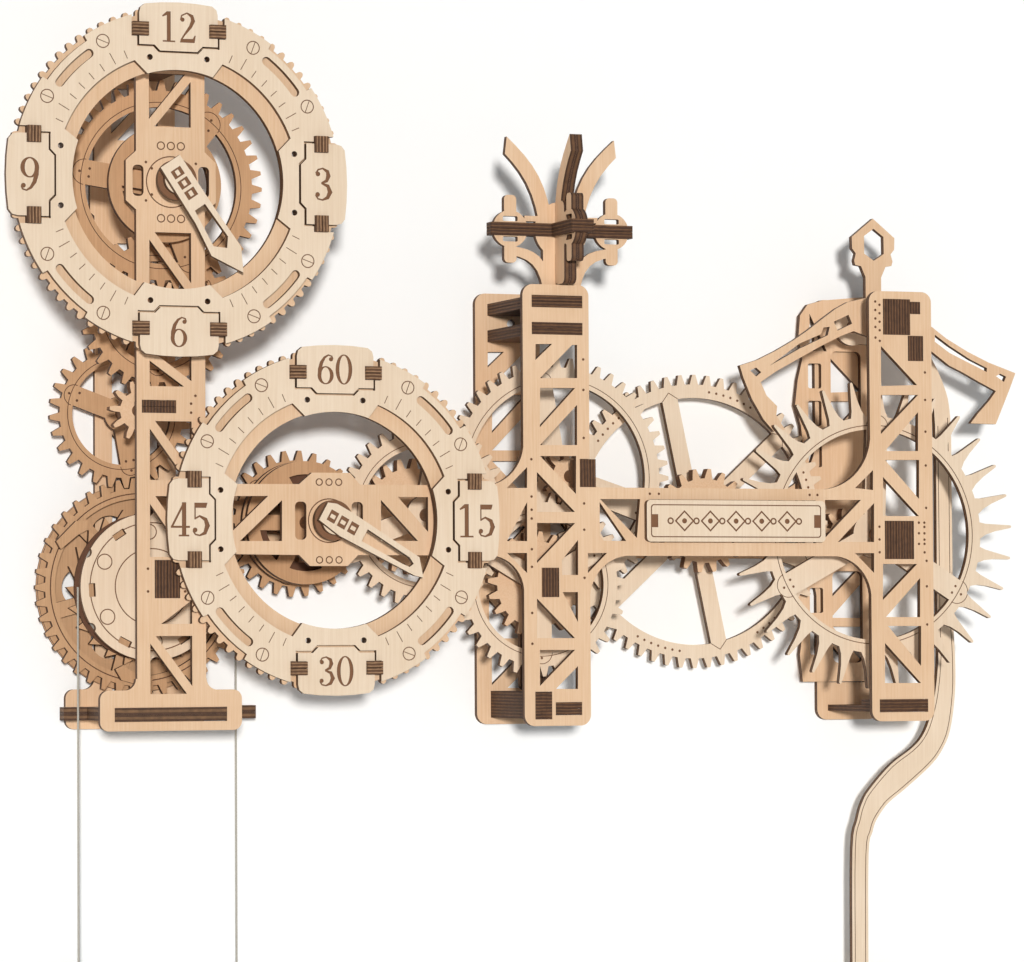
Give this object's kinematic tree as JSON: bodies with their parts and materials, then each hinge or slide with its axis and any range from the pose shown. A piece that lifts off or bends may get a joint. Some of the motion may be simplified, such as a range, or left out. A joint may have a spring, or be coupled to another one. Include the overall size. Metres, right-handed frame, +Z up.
{
  "type": "mechanical wall clock kit",
  "caption": "Weight-driven plywood wall clock with separate hour and minute dials, an open wheel train, an anchor escapement and a hanging pendulum.",
  "frame": {"origin": "centre of the wall-screw hole at the back face of the back frame", "axes": "+Z up, +Y towards the wall along the screw, +X to the right as seen from the front"},
  "size_m": [0.5061, 0.084, 0.4881],
  "materials": {
    "birch": "matt, laser cut with burnt edges",
    "frame_ply": "matt, laser cut with burnt edges",
    "edge_ply": "burnt end grain",
    "dowel": "sanded",
    "cord": "braided",
    "metal": "satin"
  },
  "bodies": {
    "frame": {"tower_left_front": "frame_ply", "tower_left_back": "frame_ply", "main_front": "frame_ply", "main_back": "frame_ply", "rear_panel": "frame_ply", "bearing_blocks": "edge_ply", "combs": "edge_ply", "foot_platform": "birch", "nameplate": "birch", "ornament_front": "frame_ply", "ornament_side": "frame_ply", "ornament_level": "edge_ply", "hour_dial_ring": "birch", "hour_dial_rack": "frame_ply", "hour_plates": "birch", "hour_clips": "edge_ply", "hour_spacers": "frame_ply", "minute_dial_ring": "birch", "minute_dial_rack": "frame_ply", "minute_plates": "birch", "minute_clips": "edge_ply", "minute_spacers": "frame_ply"},
    "minute": {"minute_hand": "birch", "minute_arbor": "dowel", "minute_wheel": "birch", "minute_rings": "birch"},
    "great": {"great_wheel": "birch", "clicks": "birch"},
    "drum": {"great_arbor": "metal", "drum_core": "birch", "drum_flange": "birch", "ratchet_wheel": "birch", "rear_pulley": "birch"},
    "transfer": {"transfer_wheel": "birch", "transfer_arbor": "dowel"},
    "motion": {"motion_wheel": "birch", "motion_arbor": "dowel"},
    "hour": {"hour_hand": "birch", "hour_arbor": "dowel", "hour_collar": "birch", "hour_wheel": "birch"},
    "second": {"second_wheel": "birch", "second_arbor": "dowel"},
    "third": {"third_wheel": "birch", "third_arbor": "frame_ply"},
    "fourth": {"fourth_wheel": "birch", "fourth_arbor": "dowel"},
    "fifth": {"fifth_wheel": "birch", "fifth_pinion": "frame_ply", "fifth_arbor": "dowel"},
    "escape": {"escape_wheel": "birch", "escape_arbor": "dowel"},
    "pendulum": {"anchor": "frame_ply", "anchor_arbor": "dowel", "pendulum_rod": "birch", "bob": "birch"},
    "weight": {"weight": "metal", "weight_cord": "cord"},
    "counterweight": {"counterweight": "metal", "counter_cord": "cord"}
  },
  "joints": [
    {"name": "minute_turn", "type": "hinge", "parent": "frame", "child": "minute", "pos_m": [-0.1098, -0.03, -0.09446], "axis": [0, 1, 0], "continuous": true},
    {"name": "great_turn", "type": "hinge", "parent": "frame", "child": "great", "pos_m": [-0.183, -0.03, -0.1235], "axis": [0, 1, 0], "continuous": true},
    {"name": "transfer_turn", "type": "hinge", "parent": "frame", "child": "transfer", "pos_m": [-0.192, -0.03, -0.04527], "axis": [0, 1, 0], "continuous": true},
    {"name": "motion_turn", "type": "hinge", "parent": "frame", "child": "motion", "pos_m": [-0.18267, -0.03, -0.00125], "axis": [0, 1, 0], "continuous": true},
    {"name": "hour_turn", "type": "hinge", "parent": "frame", "child": "hour", "pos_m": [-0.183, -0.03, 0.055], "axis": [0, 1, 0], "continuous": true},
    {"name": "second_turn", "type": "hinge", "parent": "frame", "child": "second", "pos_m": [-0.05366, -0.03, -0.0909], "axis": [0, 1, 0], "continuous": true},
    {"name": "third_turn", "type": "hinge", "parent": "frame", "child": "third", "pos_m": [0.00078, -0.03, -0.1226], "axis": [0, 1, 0], "continuous": true},
    {"name": "fourth_turn", "type": "hinge", "parent": "frame", "child": "fourth", "pos_m": [0.01485, -0.03, -0.0728], "axis": [0, 1, 0], "continuous": true},
    {"name": "fifth_turn", "type": "hinge", "parent": "frame", "child": "fifth", "pos_m": [0.08877, -0.03, -0.0925], "axis": [0, 1, 0], "continuous": true},
    {"name": "escape_turn", "type": "hinge", "parent": "frame", "child": "escape", "pos_m": [0.16723, -0.03, -0.0993], "axis": [0, 1, 0], "continuous": true},
    {"name": "drum_wind", "type": "hinge", "parent": "frame", "child": "drum", "pos_m": [-0.183, -0.03, -0.1235], "axis": [0, 1, 0], "range_deg": [-183, 183]},
    {"name": "weight_lift", "type": "slide", "parent": "frame", "child": "weight", "axis": [0, 0, 1], "range_m": [0, 0.099], "deforming": ["weight_cord"]},
    {"name": "counter_drop", "type": "slide", "parent": "frame", "child": "counterweight", "axis": [0, 0, 1], "range_m": [-0.15, 0], "deforming": ["counter_cord"]},
    {"name": "pendulum_swing", "type": "hinge", "parent": "frame", "child": "pendulum", "pos_m": [0.169, -0.03, 0.001], "axis": [0, 1, 0], "range_deg": [-3, 3]}
  ],
  "couplings": [
    {"joint": "great_turn", "follows": "minute_turn", "ratio": -0.66667},
    {"joint": "transfer_turn", "follows": "minute_turn", "ratio": 1},
    {"joint": "motion_turn", "follows": "minute_turn", "ratio": -0.33333},
    {"joint": "hour_turn", "follows": "minute_turn", "ratio": 0.083333},
    {"joint": "second_turn", "follows": "minute_turn", "ratio": -1.2727},
    {"joint": "third_turn", "follows": "minute_turn", "ratio": 2.2909},
    {"joint": "fourth_turn", "follows": "minute_turn", "ratio": -8.2473},
    {"joint": "fifth_turn", "follows": "minute_turn", "ratio": 19.793},
    {"joint": "escape_turn", "follows": "minute_turn", "ratio": -118.76},
    {"joint": "drum_wind", "follows": "weight_lift", "rad_per_m": 32.051},
    {"joint": "counter_drop", "follows": "weight_lift", "ratio": -1.4744}
  ]
}
